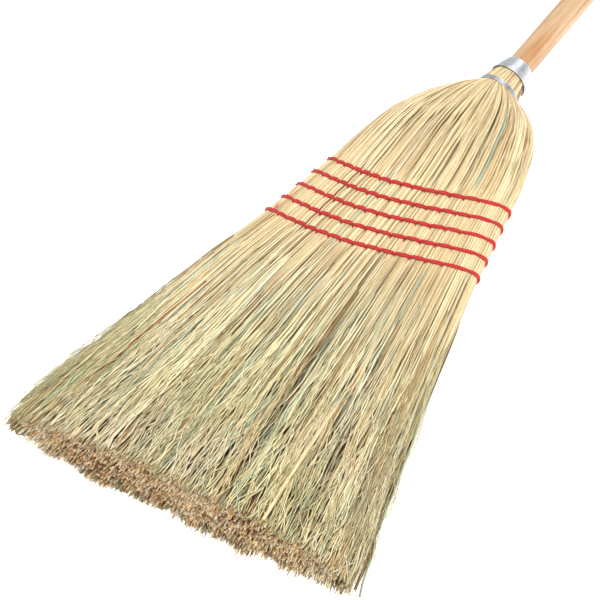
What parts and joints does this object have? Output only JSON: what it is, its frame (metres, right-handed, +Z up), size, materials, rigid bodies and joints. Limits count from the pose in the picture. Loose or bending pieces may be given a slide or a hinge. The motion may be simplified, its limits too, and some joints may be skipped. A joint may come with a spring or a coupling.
{
  "type": "corn broom",
  "caption": "Corn broom with a round wooden handle, a wire-bound straw head flattened by rows of sewn red twine, and a flared sweep that flexes.",
  "frame": {"origin": "the centre of the footprint of the broom lying on its face, on the surface that it lies on; the handle's axis passes 12 mm to the -X side of it, because the sweep is splayed to +X", "axes": "+Y along the handle towards its domed end, with the cut ends of the straw facing -Y; +X across the sweep; +Z up, normal to the flat face of the head"},
  "size_m": [0.3616, 1.4068, 0.0617],
  "materials": {
    "wood": "pale turned dowel with orange-brown grain under a thin satin varnish",
    "wire": "galvanised steel wire, bright and slightly bluish",
    "hurl": "dry broomcorn stalks, matte to silky, straw yellow with green and brown streaks",
    "bristle": "fine broomcorn fibres, matte, straw yellow and greenish, brown at the cut ends",
    "inner_straw": "coarser dry stalks inside the head, matte",
    "twine": "laid red twine, matte with a slight sheen"
  },
  "bodies": {
    "head": {"handle": "wood", "wire_end_tack": "wire", "collar_winding": "wire", "neck_winding": "wire", "inner_winding": "wire", "inner_straw": "inner_straw", "left_shoulder_straw": "inner_straw", "right_shoulder_straw": "inner_straw", "front_hurl": "hurl", "back_hurl": "hurl", "row_1_twine_band": "twine", "row_1_sewing_twine": "twine", "row_2_twine_band": "twine", "row_2_sewing_twine": "twine", "row_3_twine_band": "twine", "row_3_sewing_twine": "twine", "row_4_twine_band": "twine", "row_4_sewing_twine": "twine", "row_5_twine_band": "twine", "row_5_sewing_twine": "twine"},
    "sweep": {"inner_bristles": "inner_straw", "left_bristles": "inner_straw", "right_bristles": "inner_straw", "front_bristles": "bristle", "back_bristles": "bristle"}
  },
  "joints": [
    {"name": "sweep_flex", "type": "hinge", "parent": "head", "child": "sweep", "pos_m": [-0.012, -0.4746, 0.03083], "axis": [1, 0, 0], "range_deg": [-20, 20], "stiffness_Nm_per_rad": 25}
  ]
}
